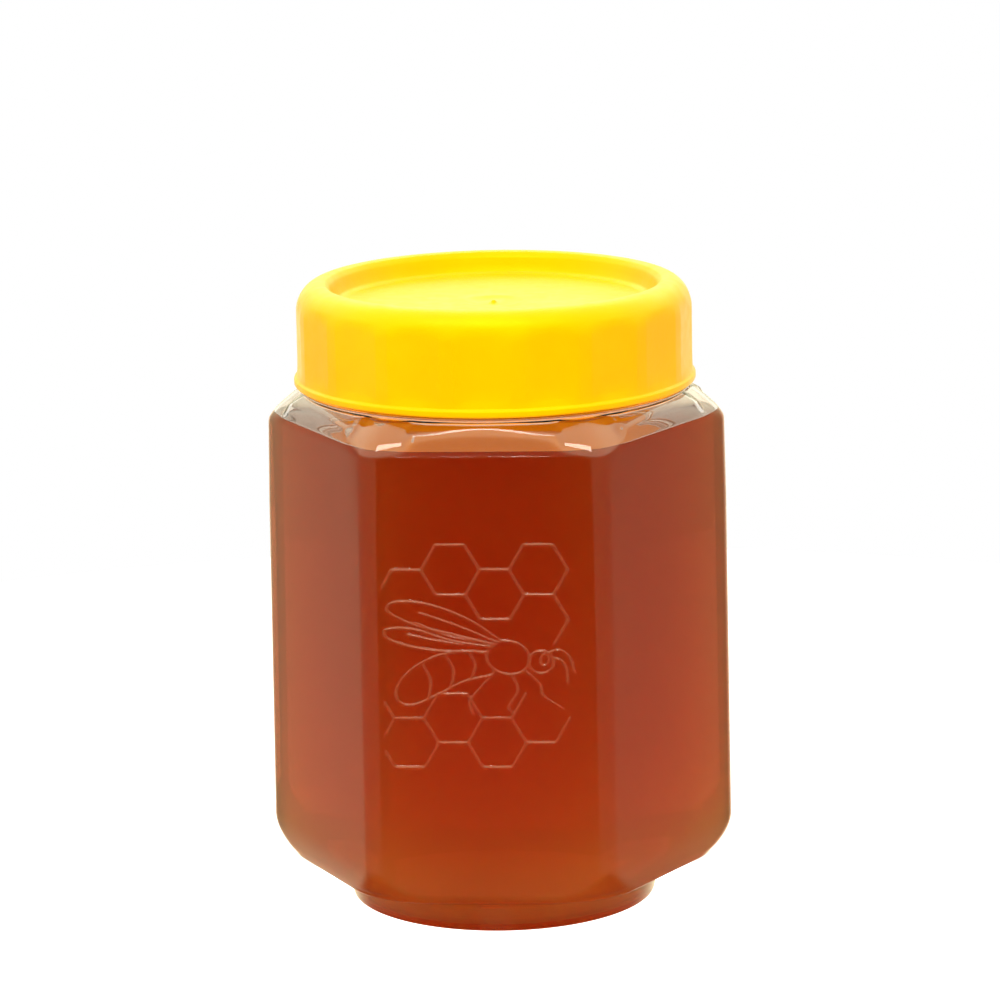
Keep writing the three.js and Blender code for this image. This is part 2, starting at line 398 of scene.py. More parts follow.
# column, row: sides, counted from the upper right one, anticlockwise
CELLS = {
    (0, 0): (0, 1, 2, 3, 4, 5), (2, 0): (0, 1, 2, 3, 4, 5), (1, 0): (0, 1, 2, 3, 4, 5),
    (-1, 0): (0, 1, 2), (2, 1): (0, 1, 5), (-1, 2): (3, 4, 5), (0, 3): (0, 1, 2, 4),
    (-1, 3): (0, 1, 2, 3, 4, 5), (1, 3): (0, 1, 2, 3, 4, 5), (2, 3): (2, 3, 4, 5),
}
comb_edges = {}
for (column, row), sides in CELLS.items():
    for k in sides:
        a, b = cell_corner(column, row, k), cell_corner(column, row, k + 1)
        comb_edges[(round(a[0] + b[0], 2), round(a[1] + b[1], 2))] = (a, b)
comb_lines = [([a, b], False) for a, b in comb_edges.values()]
print("sides of the honeycomb:", len(comb_lines))


# %% Curves for the bee, each with a word on whether it is closed
def smooth_path(points, steps=7):
    """A smooth open curve through a few points."""
    p = np.array(points, float)
    out = []
    for i in range(len(p) - 1):
        a = p[i - 1] if i else 2 * p[0] - p[1]
        b, c = p[i], p[i + 1]
        d = p[i + 2] if i + 2 < len(p) else 2 * p[-1] - p[-2]
        for t in np.arange(steps) / steps:
            out.append(0.5 * (2 * b + (c - a) * t + (2 * a - 5 * b + 4 * c - d) * t * t
                              + (3 * b - a - 3 * c + d) * t ** 3))
    out.append(p[-1])
    return [tuple(v) for v in out], False


def oval(x, z, wide, high, turn=0.0, count=24):
    """Points of an ellipse, turned by an angle in degrees."""
    c, s = math.cos(math.radians(turn)), math.sin(math.radians(turn))
    out = []
    for k in range(count):
        a = 2 * math.pi * k / count
        u, v = wide * math.cos(a), high * math.sin(a)
        out.append((x + u * c - v * s, z + u * s + v * c))
    return out, True


# %% Paths of the bee
bee_lines = [
    oval(4.6, 65.2, 4.7, 3.7, -12), oval(11.7, 64.2, 2.7, 2.5),
    smooth_path([(0.4, 66.4), (-5.5, 66.6), (-11.4, 65.4), (-16.6, 62.4), (-19.6, 58.6),
                 (-19.0, 55.4), (-15.6, 54.9), (-10.4, 57.2), (-4.8, 60.0), (1.2, 61.4)]),
    smooth_path([(3.4, 68.6), (-3.4, 73.4), (-12.0, 76.9), (-19.4, 77.6), (-21.2, 75.6),
                 (-15.8, 72.6), (-7.4, 70.4), (2.0, 68.0)]),
    smooth_path([(1.2, 67.6), (-7.6, 69.0), (-16.0, 71.6), (-21.8, 71.4), (-20.4, 69.0),
                 (-12.6, 67.0), (-4.6, 66.6)]),
    smooth_path([(8.2, 62.4), (11.4, 59.2), (12.2, 56.6), (16.2, 53.9)]),
    smooth_path([(5.2, 61.6), (6.6, 58.0), (4.6, 54.4), (5.8, 52.4)]),
    smooth_path([(1.8, 62.2), (-1.4, 58.6), (-3.8, 55.6), (-3.2, 52.6)]),
]
fine_lines = [
    oval(12.5, 64.7, 0.9, 1.35, -15),
    smooth_path([(-3.9, 66.6), (-2.5, 63.6), (-3.4, 60.6)]),
    smooth_path([(-9.0, 66.0), (-7.2, 62.4), (-8.0, 58.4)]),
    smooth_path([(-14.0, 64.1), (-12.2, 60.2), (-12.8, 56.0)]),
    smooth_path([(2.2, 68.6), (-6.0, 72.2), (-14.4, 75.2)]),
    smooth_path([(0.4, 68.4), (-8.0, 70.0), (-15.4, 73.0)]),
    smooth_path([(-5.0, 68.1), (-11.6, 69.2), (-17.0, 70.4)]),
    smooth_path([(13.2, 66.2), (15.6, 66.9), (17.9, 65.2), (18.9, 61.9)]),
    smooth_path([(14.1, 65.0), (15.9, 64.7), (17.2, 62.6), (17.4, 59.6)]),
]
print("lines of the bee:", len(bee_lines), "strong and", len(fine_lines), "fine ones")


# %% Paths as objects on the panel
def panel_y(z):
    """Where the front panel stands at a height."""
    t = (z - PANEL_LOW_Z) / (PANEL_TOP_Z - PANEL_LOW_Z)
    return -(PANEL_LOW_FLAT + (PANEL_TOP_FLAT - PANEL_LOW_FLAT) * t)


def path_object(name, lines):
    """Edges that lie on the front panel."""
    points, edges = [], []
    for line, closed in lines:
        start = len(points)
        points += [(x * MM, panel_y(z) * MM, z * MM) for x, z in line]
        edges += [(start + i, start + i + 1) for i in range(len(line) - 1)]
        if closed:
            edges.append((start + len(line) - 1, start))
    mesh = bpy.data.meshes.new(name)
    mesh.from_pydata(points, edges, [])
    piece = bpy.data.objects.new(name, mesh)
    bpy.context.scene.collection.objects.link(piece)
    return piece


paths = {"Comb": path_object("comb_paths", comb_lines), "Bee": path_object("bee_paths", bee_lines),
         "Fine": path_object("fine_paths", fine_lines)}
for name, piece in paths.items():
    print(name, "paths have", len(piece.data.edges), "edges")

# %% [markdown]
# The raised lines could be a bump in the material, but then the mesh would lack them. So there is
# a plate that starts as a grid of small squares. Only squares near a line are cut finer, because
# the rest stays flat. Geometry Nodes then lift every point by its distance to the nearest path,
# with a round profile, so the lines are soft ridges with no seam, as in a blown bottle.

# %% Plate for the relief
RELIEF_LEFT = -22.7
RELIEF_RIGHT = 20.4
STEP = 0.6
FRAME = 0.4
LINE_REACH = 0.62
TINY = 0.01


def distance_to(points, lines):
    """Distance of points from the nearest line on the panel."""
    best = np.full(len(points), 1e9)
    for line, closed in lines:
        ends = line + line[:1] if closed else line
        for a, b in zip(ends[:-1], ends[1:]):
            a, b = np.array(a), np.array(b)
            along = b - a
            t = np.clip((points - a) @ along / max(along @ along, 1e-9), 0, 1)
            best = np.minimum(best, np.linalg.norm(points - a - t[:, None] * along, axis=1))
    return best


def relief_plate():
    """A grid on the front panel that is finer near the lines."""
    x_steps = round((RELIEF_RIGHT - RELIEF_LEFT) / STEP)
    z_steps = round((RELIEF_TOP - RELIEF_LOW - 2 * FRAME) / STEP)
    xs = np.linspace(RELIEF_LEFT, RELIEF_RIGHT, x_steps + 1)
    zs = np.linspace(RELIEF_LOW + FRAME, RELIEF_TOP - FRAME, z_steps + 1)
    grid = bmesh.new()
    flat = np.array([(x, z) for z in zs for x in xs])
    verts = [grid.verts.new((x * MM, panel_y(z) * MM, z * MM)) for x, z in flat]
    near = distance_to(flat, comb_lines + bee_lines + fine_lines) < LINE_REACH + STEP / 2
    near &= (flat[:, 0] > xs[0] + TINY) & (flat[:, 0] < xs[-1] - TINY)
    near &= (flat[:, 1] > zs[0] + TINY) & (flat[:, 1] < zs[-1] - TINY)
    wide = x_steps + 1
    for j in range(z_steps):
        for i in range(x_steps):
            a = j * wide + i
            grid.faces.new([verts[a], verts[a + 1], verts[a + wide + 1], verts[a + wide]])
    grid.verts.index_update()
    fine = {e for f in grid.faces if any(near[v.index] for v in f.verts) for e in f.edges}
    fine = [e for e in fine if len(e.link_faces) == 2]
    bmesh.ops.subdivide_edges(grid, edges=fine, cuts=2, use_grid_fill=True)
    mesh = bpy.data.meshes.new("relief_plate")
    grid.to_mesh(mesh)
    grid.free()
    piece = bpy.data.objects.new("relief_plate", mesh)
    bpy.context.scene.collection.objects.link(piece)
    print("plate:", len(mesh.vertices), "points,", len(mesh.polygons), "faces")
    return piece


plate = relief_plate()


# %% The relief maker
FADE_IN = 0.0008


def relief_maker():
    """A node tree that lifts a plate along three sets of paths."""
    tree = bpy.data.node_groups.new("relief_maker", "GeometryNodeTree")
    face = tree.interface
    face.new_socket("Geometry", in_out="INPUT", socket_type="NodeSocketGeometry")
    face.new_socket("Geometry", in_out="OUTPUT", socket_type="NodeSocketGeometry")
    sockets = {}
    inputs = [("Height", "Float"), ("Left edge", "Float"), ("Material", "Material")]
    for paths_of in ("Comb", "Bee", "Fine"):
        inputs += [(paths_of, "Object"), (paths_of + " width", "Float")]
    for name, kind in inputs:
        socket = face.new_socket(name, in_out="INPUT", socket_type="NodeSocket" + kind)
        sockets[name] = socket.identifier
    n = tree.nodes
    link = tree.links.new
    source = n.new("NodeGroupInput")
    out = n.new("NodeGroupOutput")

    def math_node(operation, first, second):
        node = n.new("ShaderNodeMath")
        node.operation = operation
        for socket, value in zip(node.inputs, (first, second)):
            if isinstance(value, (int, float)):
                socket.default_value = value
            else:
                link(value, socket)
        return node.outputs["Value"]

    highest = None
    for name in ("Comb", "Bee", "Fine"):
        get = n.new("GeometryNodeObjectInfo")
        link(source.outputs[name], get.inputs["Object"])
        near = n.new("GeometryNodeProximity")
        near.target_element = "EDGES"
        link(get.outputs["Geometry"], near.inputs["Geometry"])
        share = math_node("DIVIDE", near.outputs["Distance"], source.outputs[name + " width"])
        share = math_node("MINIMUM", share, 1.0)
        dome = math_node("SUBTRACT", 1.0, math_node("MULTIPLY", share, share))
        ridge = math_node("MULTIPLY", dome, dome)
        highest = ridge if highest is None else math_node("MAXIMUM", highest, ridge)
    place = n.new("GeometryNodeInputPosition")
    split = n.new("ShaderNodeSeparateXYZ")
    link(place.outputs["Position"], split.inputs["Vector"])
    fade = n.new("ShaderNodeMapRange")
    fade.interpolation_type = "SMOOTHSTEP"
    link(split.outputs["X"], fade.inputs["Value"])
    link(source.outputs["Left edge"], fade.inputs["From Min"])
    link(math_node("ADD", source.outputs["Left edge"], FADE_IN), fade.inputs["From Max"])
    lift = math_node("MULTIPLY", highest, source.outputs["Height"])
    lift = math_node("MULTIPLY", lift, fade.outputs["Result"])
    shift = n.new("ShaderNodeCombineXYZ")
    link(math_node("MULTIPLY", lift, -1.0), shift.inputs["Y"])
    move = n.new("GeometryNodeSetPosition")
    link(source.outputs["Geometry"], move.inputs["Geometry"])
    link(shift.outputs["Vector"], move.inputs["Offset"])
    realize = n.new("GeometryNodeRealizeInstances")
    link(move.outputs["Geometry"], realize.inputs["Geometry"])
    paint = n.new("GeometryNodeSetMaterial")
    link(realize.outputs["Geometry"], paint.inputs["Geometry"])
    link(source.outputs["Material"], paint.inputs["Material"])
    link(paint.outputs["Geometry"], out.inputs["Geometry"])
    return tree, sockets


# %% The plate gets its lines
def grow(piece, tree, sockets, values):
    """Runs a node tree on an object and gives back a plain mesh."""
    modifier = piece.modifiers.new("maker", "NODES")
    modifier.node_group = tree
    for name, value in values.items():
        modifier[sockets[name]] = value
    bpy.context.view_layer.update()
    seen = piece.evaluated_get(bpy.context.evaluated_depsgraph_get())
    mesh = bpy.data.meshes.new_from_object(seen)
    piece.modifiers.remove(modifier)
    bpy.data.objects.remove(piece)
    return mesh


clear_plastic = bpy.data.materials.new("clear_plastic")
tree, sockets = relief_maker()
relief_mesh = grow(plate, tree, sockets, {
    "Height": 0.22 * MM, "Left edge": RELIEF_LEFT * MM, "Material": clear_plastic,
    "Comb": paths["Comb"], "Comb width": 0.31 * MM, "Bee": paths["Bee"], "Bee width": 0.29 * MM,
    "Fine": paths["Fine"], "Fine width": 0.25 * MM})
for piece in paths.values():
    bpy.data.objects.remove(piece)
heights = np.array([v.co.y for v in relief_mesh.vertices]) / MM
print("relief: foremost point at y =", heights.min().round(2), "mm")


# %% Setting the plate into the window
LINE_LIFT = 0.06
LINE_SLOT = 2


def set_in(piece, plate_mesh, low, top):
    """Joins the plate to the skin: four flat faces fill the frame between window and plate."""
    here = piece.data
    offset = len(here.vertices)
    points = np.array([v.co[:] for v in here.vertices] + [v.co[:] for v in plate_mesh.vertices])
    faces = [tuple(p.vertices) for p in here.polygons]
    slots = [p.material_index for p in here.polygons]
    faces += [tuple(offset + i for i in p.vertices) for p in plate_mesh.polygons]
    new = points[offset:] / MM
    raised = np.array([panel_y(z) - y for x, y, z in new]) > LINE_LIFT
    for face in plate_mesh.polygons:
        slots.append(LINE_SLOT if sum(raised[i] for i in face.vertices) > 1 else 0)

    def border(axis, value, along):
        ids = np.flatnonzero(np.abs(new[:, axis] - value) < TINY / 2)
        return [offset + int(i) for i in ids[np.argsort(new[ids, along])]]

    bottom, above = border(2, new[:, 2].min(), 0), border(2, new[:, 2].max(), 0)
    left, right = border(0, new[:, 0].min(), 2), border(0, new[:, 0].max(), 2)
    faces.append(tuple(low + bottom[::-1]))
    faces.append(tuple([low[-1], top[-1]] + right[::-1]))
    faces.append(tuple(top[::-1] + above))
    faces.append(tuple([top[0], low[0]] + left))
    slots += [0] * (len(faces) - len(slots))
    mesh = bpy.data.meshes.new(piece.name)
    mesh.from_pydata(points.tolist(), [], faces)
    mesh.polygons.foreach_set("material_index", slots)
    mesh.update()
    piece.data = mesh
    used = np.zeros(len(mesh.edges), int)
    index = np.zeros(len(mesh.loops), int)
    mesh.loops.foreach_get("edge_index", index)
    np.add.at(used, index, 1)
    print(piece.name, "has", triangles(mesh), "triangles and", int((used != 2).sum()), "open edges")


set_in(jar, relief_mesh, window_low, window_top)
smooth(jar, 50)

# %% [markdown]
# The honey fills the jar up to a level just above the panels. A liquid has the shape of its jar, so
# its skin follows the same rule as the inner wall. It lies a little way into the plastic, so that
# no film of air shows between the two, and at the edge it creeps up the wall by less than half a
# millimetre, as a thick liquid does.

# %% The honey
SINK = 0.12
depth = WALL - SINK
rings = [pole(PUSH_UP + 1 - SINK)]
for r, z in fillet([(3.0, PUSH_UP + 1 - SINK), (16.0, PUSH_UP + 0.65 - SINK),
                    (26.0, PUSH_UP - 0.2 - SINK), (30.4, 1.3 - SINK), (FOOT_OUT_R, 1.7),
                    (FOOT_TOP_R - 1.1, 3.0), (FOOT_TOP_R - depth, FOOT_TOP_Z + 0.7)]):
    rings.append(ring(inner, z, r))
rings += body_rings(inner, depth, 8, np.linspace(-0.8, HONEY_Z + CREEP - PANEL_TOP_Z, 9))
side_bands = len(rings) - 1
for back, rise in ((SINK + 0.02, CREEP), (0.3, 0.32), (0.6, 0.18), (1.1, 0.07), (1.9, 0.02),
                   (3.0, 0.0)):
    z = HONEY_Z + rise
    wall = shoulder_radius(inner, z - PANEL_TOP_Z, depth)
    rings.append(ring(inner, z, wall - back))
edge = shoulder_radius(inner, HONEY_Z - PANEL_TOP_Z, depth)
for share in (0.8, 0.55, 0.3, 0.1):
    rings.append(ring(inner, HONEY_Z, edge * share))
rings.append(pole(HONEY_Z))
honey = skin("honey_fill", rings, lambda k: k >= side_bands)
smooth(honey, 40)

# %% [markdown]
# The cap is moulded in one piece: a rounded crest round a recessed top, a skirt with eighteen very
# shallow flats, and a lip that flares at the bottom. Spinning a profile would leave the flats out,
# so a ring mesh again follows the rule, with the flats fading out into the round crest. The profile
# starts at the middle of the inner side and ends at the small moulding mark on top.

# %% Sizes of the cap
CAP_LOW_Z = 117.5
CAP_FLANGE_R = 44.55
CAP_SKIRT_R = 43.8
CAP_IN_R = 42.4
CAP_IN_Z = 133.4
CREST_R = 38.2
CREST_ROUND_W = 5.6
CREST_ROUND_H = 6.6
FLOOR_Z = 135.2
FLOOR_R = 33.5
CAP_FLATS = 18
FLAT_DEPTH = 0.42
FLATS_START = 1.4
FLATS_FADE = 2.6
cap_angles = np.radians(np.arange(0, 360, 0.5))
print("points in a ring of the cap:", len(cap_angles))


# %% Profile of the cap
def flatted(radius, share):
    """A circle with shallow flats; share says how much of their depth is there."""
    pitch = 2 * math.pi / CAP_FLATS
    a = np.mod(cap_angles, pitch) - pitch / 2
    flat = (CAP_SKIRT_R - FLAT_DEPTH) / np.cos(a)
    dip = CAP_SKIRT_R - flat
    return radius - np.clip(dip, 0, None) * share


profile = [(3.0, CAP_IN_Z, 0), (34.6, CAP_IN_Z, 0), (35.8, 133.6, 0), (36.6, 134.6, 0),
           (37.1, 137.3, 0), (38.2, 138.8, 0), (40.4, 137.9, 0), (41.8, 136.3, 0),
           (CAP_IN_R, 133.6, 0), (CAP_IN_R, 118.6, 0), (CAP_IN_R + 0.3, CAP_LOW_Z, 0)]
inside_bands = len(profile) + 1
outside = fillet([(CAP_IN_R + 0.3, CAP_LOW_Z), (CAP_FLANGE_R - 0.3, CAP_LOW_Z),
                  (CAP_FLANGE_R, CAP_LOW_Z + 0.35), (CAP_FLANGE_R - 0.02, CAP_LOW_Z + 1.35),
                  (CAP_SKIRT_R + 0.16, CAP_LOW_Z + 1.85), (CAP_SKIRT_R + 0.05, CAP_LOW_Z + 3.2),
                  (CAP_SKIRT_R, CAP_LOW_Z + 6.0), (CAP_SKIRT_R, HEIGHT - CREST_ROUND_H)], 5)[1:]
for r, z in outside:
    rise = (z - CAP_LOW_Z - FLATS_START) / FLATS_FADE
    profile.append((r, z, float(np.clip(rise, 0, 1))))
for t in np.radians(np.arange(5, 91, 5)):
    share = float(np.clip(1.25 - math.degrees(t) / 24, 0, 1))
    r = CREST_R + CREST_ROUND_W * math.cos(t)
    profile.append((r, HEIGHT - CREST_ROUND_H * (1 - math.sin(t)), share))
recess = fillet([(CREST_R, HEIGHT), (37.2, 139.75), (36.3, 138.8), (35.5, 137.0), (34.8, 135.7),
                 (FLOOR_R, FLOOR_Z), (20.0, FLOOR_Z + 0.05), (6.6, FLOOR_Z), (5.2, 134.75),
                 (4.0, 134.5), (1.3, 134.5), (0.75, 134.75), (0.3, 135.25)], 5)[1:]
for r, z in recess:
    profile.append((r, z, 0))

# %% The cap
rings = [pole(CAP_IN_Z)]
for r, z, share in profile:
    rings.append(ring(cap_angles, z, flatted(r, share)))
rings.append(pole(FLOOR_Z + 0.1))
cap = skin("yellow_cap", rings, lambda k: k < inside_bands)
smooth(cap, 35)

# %% [markdown]
# Every finish starts from the same shader with a little noise on it, because no real surface is
# one even colour. The noise reads the piece's own coordinates, so it stays on the piece in every
# view. Values that are the same all over stand on the shader's own sockets.

# %% Helpers for materials
NOISE_LOW, NOISE_HIGH = 0.3, 0.7


def start(material):
    """Gives a material one shader and hands back what is needed to build on it."""
    material.use_nodes = True
    nodes = material.node_tree.nodes
    nodes.clear()
    out = nodes.new("ShaderNodeOutputMaterial")
    shader = nodes.new("ShaderNodeBsdfPrincipled")
    material.node_tree.links.new(shader.outputs["BSDF"], out.inputs["Surface"])
    return nodes, material.node_tree.links.new, shader, out


def noise(nodes, link, scale, detail=3.0, rough=0.5, stretch=(1, 1, 1)):
    """Noise in the piece's own coordinates, in patches of about 1 / scale metres."""
    place = nodes.new("ShaderNodeTexCoord")
    mapping = nodes.new("ShaderNodeMapping")
    mapping.inputs["Scale"].default_value = stretch
    texture = nodes.new("ShaderNodeTexNoise")
    texture.inputs["Scale"].default_value = scale
    texture.inputs["Detail"].default_value = detail
    texture.inputs["Roughness"].default_value = rough
    link(place.outputs["Object"], mapping.inputs["Vector"])
    link(mapping.outputs["Vector"], texture.inputs["Vector"])
    return texture.outputs["Fac"]


def spread(nodes, link, value, low, high):
    """Maps noise onto a range."""
    ranger = nodes.new("ShaderNodeMapRange")
    ranger.inputs["From Min"].default_value = NOISE_LOW
    ranger.inputs["From Max"].default_value = NOISE_HIGH
    ranger.inputs["To Min"].default_value = low
    ranger.inputs["To Max"].default_value = high
    link(value, ranger.inputs["Value"])
    return ranger.outputs["Result"]


def blend(nodes, link, value, first, second):
    """Mixes two colours by noise."""
    mix = nodes.new("ShaderNodeMix")
    mix.data_type = "RGBA"
    mix.inputs["A"].default_value = (*first, 1)
    mix.inputs["B"].default_value = (*second, 1)
    link(value, mix.inputs["Factor"])
    return mix.outputs["Result"]


def relief(nodes, link, value, strength, distance, shader):
    """Fine unevenness that only bends the light."""
    bump = nodes.new("ShaderNodeBump")
    bump.inputs["Strength"].default_value = strength
    bump.inputs["Distance"].default_value = distance
    link(value, bump.inputs["Height"])
    link(bump.outputs["Normal"], shader.inputs["Normal"])


# %% [markdown]
# The jar is blown from clear plastic. It reflects a little more than water does and bends light by
# half, and its wall is never quite even, so the light through it wavers. A glass shader would do,
# but one shader for all keeps the export simple. Slow, stretched noise makes the waver. The skin
# itself is quite sharp: a trace of roughness would look the same and take half as long again.

# %% Clear plastic of the jar
PLASTIC_BEND = 1.5
nodes, link, shader, out = start(clear_plastic)
shader.inputs["Transmission Weight"].default_value = 1.0
shader.inputs["IOR"].default_value = PLASTIC_BEND
wave = noise(nodes, link, 26.0, detail=1.0, stretch=(1, 1, 0.5))
tint = blend(nodes, link, spread(nodes, link, wave, 0, 1), (0.96, 0.89, 0.78), (0.98, 0.92, 0.82))
link(tint, shader.inputs["Base Color"])
shader.inputs["Roughness"].default_value = 0.0
relief(nodes, link, wave, 0.12, 0.0015, shader)
print(clear_plastic.name, "bends light by", PLASTIC_BEND)

# %% [markdown]
# The raised lines look lighter than the panel: their sides bend light from the honey, and a mould
# leaves them a little rougher.
# They get a finish of their own: the same plastic, less clear, and its orange colour is a painted
# glow in place of that bent light.

# %% Plastic of the raised lines, whose orange is a painted glow
line_plastic_painted_glow = bpy.data.materials.new("raised_line_painted_glow")
nodes, link, shader, out = start(line_plastic_painted_glow)
shader.inputs["Transmission Weight"].default_value = 0.965
shader.inputs["IOR"].default_value = PLASTIC_BEND
shader.inputs["Roughness"].default_value = 0.16
# painted glow: this orange shows on the lines as a faint light, standing in for light their sides
# bend from the honey
tint = blend(nodes, link, noise(nodes, link, 40.0), (1.0, 0.46, 0.10), (1.0, 0.52, 0.14))
link(tint, shader.inputs["Base Color"])
print(line_plastic_painted_glow.name, "is a little rougher than the panel")

# %% [markdown]
# Dark honey takes out blue and green on the way through, so a thick stretch is dark amber and a
# thin one is orange. It is also cloudy with fine pollen and crystals, which throw light back, so
# it never looks black. A plain colour would look like paint. Here a volume absorbs and scatters.
# Honey and plastic bend light almost alike, so where they touch, neither the wall's inner side nor
# the honey's skin bends it. Only the honey's free top does.

# %% Honey
HONEY_BEND = 1.48
NO_BEND = 1.0
AMBER, AMBER_DENSITY = (0.93, 0.45, 0.03, 1), 90.0
CLOUD, CLOUD_DENSITY = (1.0, 0.78, 0.2, 1), 40.0
FORWARD = 0.6


def honey_material(name, bend):
    """Honey whose skin bends light by a given share."""
    material = bpy.data.materials.new(name)
    nodes, link, shader, out = start(material)
    shader.inputs["Transmission Weight"].default_value = 1.0
    shader.inputs["IOR"].default_value = bend
    shader.inputs["Roughness"].default_value = 0.0
    slow = spread(nodes, link, noise(nodes, link, 18.0, detail=2.0), 0, 1)
    tint = blend(nodes, link, slow, (0.93, 0.9, 0.86), (1.0, 0.98, 0.95))
    link(tint, shader.inputs["Base Color"])
    absorb = nodes.new("ShaderNodeVolumeAbsorption")
    absorb.inputs["Color"].default_value = AMBER
    absorb.inputs["Density"].default_value = AMBER_DENSITY
    scatter = nodes.new("ShaderNodeVolumeScatter")
    scatter.inputs["Color"].default_value = CLOUD
    scatter.inputs["Density"].default_value = CLOUD_DENSITY
    scatter.inputs["Anisotropy"].default_value = FORWARD
    both = nodes.new("ShaderNodeAddShader")
    link(absorb.outputs["Volume"], both.inputs[0])
    link(scatter.outputs["Volume"], both.inputs[1])
    link(both.outputs["Shader"], out.inputs["Volume"])
    print(name, "bends light by", bend)
    return material


honey_look = honey_material("dark_honey", NO_BEND)
honey_top = honey_material("honey_surface", HONEY_BEND)

# %% Wall wetted by honey
wet_wall = bpy.data.materials.new("wetted_wall")
nodes, link, shader, out = start(wet_wall)
shader.inputs["Transmission Weight"].default_value = 1.0
shader.inputs["IOR"].default_value = NO_BEND
shader.inputs["Roughness"].default_value = 0.0
tint = blend(nodes, link, noise(nodes, link, 30.0), (0.99, 0.99, 0.98), (1.0, 1.0, 1.0))
link(tint, shader.inputs["Base Color"])
print(wet_wall.name, "bends light by", NO_BEND)

# %% [markdown]
# The cap is moulded in yellow plastic, half glossy, with a fine grain. Light enters such plastic
# a little way and comes out again, which keeps its shadows warm; a small subsurface weight does
# that. The mirror of the room on it is tinted yellow, so that the front stays deep in colour.

# %% Yellow plastic of the cap
cap_look = bpy.data.materials.new("yellow_plastic")
nodes, link, shader, out = start(cap_look)
cloud = noise(nodes, link, 55.0, detail=3.0)
tint = blend(nodes, link, spread(nodes, link, cloud, 0, 1), (1.0, 0.375, 0.0), (1.0, 0.415, 0.0))
link(tint, shader.inputs["Base Color"])
shader.inputs["Specular IOR Level"].default_value = 0.4
shader.inputs["Specular Tint"].default_value = (1.0, 0.7, 0.0, 1)
shader.inputs["Subsurface Weight"].default_value = 0.15
shader.inputs["Subsurface Radius"].default_value = (1.0, 0.7, 0.05)
shader.inputs["Subsurface Scale"].default_value = 0.001
rough = spread(nodes, link, noise(nodes, link, 300.0, detail=4.0), 0.30, 0.42)
link(rough, shader.inputs["Roughness"])
relief(nodes, link, noise(nodes, link, 900.0, detail=3.0), 0.12, 0.0002, shader)
print(cap_look.name, "is made")

# %% [markdown]
# On the real jar the cap's thin plastic lets daylight through, and its inner side tints the clear
# shoulder below. Tracing light through the cap would be slow and noisy, so the inner side gives
# off a little yellow light in place of it.

# %% Inner side of the cap
cap_inside = bpy.data.materials.new("yellow_plastic_inside")
cap_inside.cycles.emission_sampling = "NONE"
nodes, link, shader, out = start(cap_inside)
shader.inputs["Roughness"].default_value = 0.5
shader.inputs["Emission Color"].default_value = (1.0, 0.38, 0.01, 1)
shader.inputs["Emission Strength"].default_value = 0.85
tint = blend(nodes, link, noise(nodes, link, 55.0), (1.0, 0.47, 0.0), (1.0, 0.52, 0.0))
link(tint, shader.inputs["Base Color"])
print(cap_inside.name, "is made")

# %% [markdown]
# Each piece gets its finishes, in the order of the numbers that its faces carry, and then rides on
# the jar's one body and stands for one solid of the model, so the jar moves as a whole.

# %% Pieces on the frame
finishes = ((jar, (clear_plastic, wet_wall, line_plastic_painted_glow), "jar"),
            (honey, (honey_look, honey_top), "honey"),
            (cap, (cap_look, cap_inside), "cap"))
for piece, materials, node in finishes:
    slots = [p.material_index for p in piece.data.polygons]
    piece.data.materials.clear()
    for material in materials:
        piece.data.materials.append(material)
    piece.data.polygons.foreach_set("material_index", slots)
    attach(piece, "root")
    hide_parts(node)
    print(piece.name, "stands for", node, "with", len(materials), "finishes")

# %% [markdown]
# The set is a photo tent that is open towards the camera: a round pale table top and white all
# round. A plain white floor would leave the jar's foot dark, because the foot shades it. A real
# light table shines up round the foot, so this one gives off light too, and more of it in a ring
# where the foot stands. The ring isn't seen, because the table is white there already. Table,
# room and cap aren't sampled as lights: the jar's wall is in the way, so that would be wasted.

# %% Table top
def disc(name, radius, z):
    """A flat round plate."""
    grid = bmesh.new()
    bmesh.ops.create_circle(grid, cap_ends=True, segments=128, radius=radius)
    mesh = bpy.data.meshes.new(name)
    grid.to_mesh(mesh)
    grid.free()
    mesh.transform(Matrix.Translation((0, 0, z)))
    piece = bpy.data.objects.new(name, mesh)
    bpy.context.scene.collection.objects.link(piece)
    return piece


TABLE_R = 0.34
JUST_BELOW = -0.0002
table = disc("table_top", TABLE_R, JUST_BELOW)
print("table top", 2 * TABLE_R, "m across")

# %% Light of the table
TABLE_GLOW = 0.78
RING_GLOW = 3.0
RING_START, RING_FULL, RING_FADE, RING_END = 0.031, 0.036, 0.041, 0.049
table_look = bpy.data.materials.new("pale_table")
nodes, link, shader, out = start(table_look)
shader.inputs["Roughness"].default_value = 0.75
shader.inputs["Emission Color"].default_value = (1, 1, 1, 1)
place = nodes.new("ShaderNodeTexCoord")
reach = nodes.new("ShaderNodeVectorMath")
reach.operation = "LENGTH"
link(place.outputs["Object"], reach.inputs[0])
rise = nodes.new("ShaderNodeMapRange")
fall = nodes.new("ShaderNodeMapRange")
for step, near, far, low, high in ((rise, RING_START, RING_FULL, 0.0, RING_GLOW),
                                   (fall, RING_FADE, RING_END, 1.0, 0.0)):
    step.interpolation_type = "SMOOTHSTEP"
    step.inputs["From Min"].default_value = near
    step.inputs["From Max"].default_value = far
    step.inputs["To Min"].default_value = low
    step.inputs["To Max"].default_value = high
    link(reach.outputs["Value"], step.inputs["Value"])
glow = nodes.new("ShaderNodeMath")
glow.operation = "MULTIPLY_ADD"
link(rise.outputs["Result"], glow.inputs[0])
link(fall.outputs["Result"], glow.inputs[1])
glow.inputs[2].default_value = TABLE_GLOW
link(glow.outputs["Value"], shader.inputs["Emission Strength"])
slow = spread(nodes, link, noise(nodes, link, 8.0), 0, 1)
